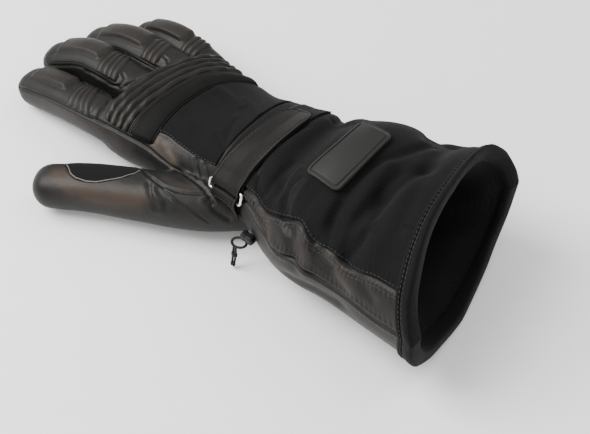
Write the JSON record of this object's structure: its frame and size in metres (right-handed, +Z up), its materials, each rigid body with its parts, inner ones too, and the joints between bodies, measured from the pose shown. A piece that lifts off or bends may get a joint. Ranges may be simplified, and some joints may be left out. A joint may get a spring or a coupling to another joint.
{
  "type": "heated glove",
  "caption": "Right-hand padded gauntlet glove with ribbed knuckles, wrist strap with wire loop and a wide cuff, resting palm down.",
  "frame": {"origin": "middle of the footprint, on the surface that the glove rests on", "axes": "+X from fingertips to cuff mouth, +Y towards the little-finger side, +Z up out of the back of the hand"},
  "size_m": [0.3886, 0.1962, 0.1105],
  "materials": {
    "leather": "satin, worn",
    "textile": "matt woven",
    "lining": "brushed",
    "rubber": "satin",
    "steel": "polished",
    "plastic": "glossy"
  },
  "bodies": {
    "root": {"hand_shell": "leather", "index_stall": "leather", "middle_stall": "leather", "ring_stall": "leather", "little_stall": "leather", "thumb_stall": "leather", "index_back_pad": "leather", "middle_back_pad": "leather", "ring_back_pad": "leather", "little_back_pad": "leather", "thumb_insert": "textile", "knuckle_panel": "leather", "knuckle_guard": "leather", "back_panel": "textile", "gauntlet_top": "textile", "gauntlet_side": "leather", "gauntlet_underside": "leather", "cuff_lining": "lining", "hem_binding": "textile", "label_plate": "rubber", "wrist_strap": "leather", "strap_tab": "leather", "strap_loop": "steel", "pull_slider": "plastic", "pull_loop": "plastic", "pull_tab": "plastic"}
  },
  "joints": []
}
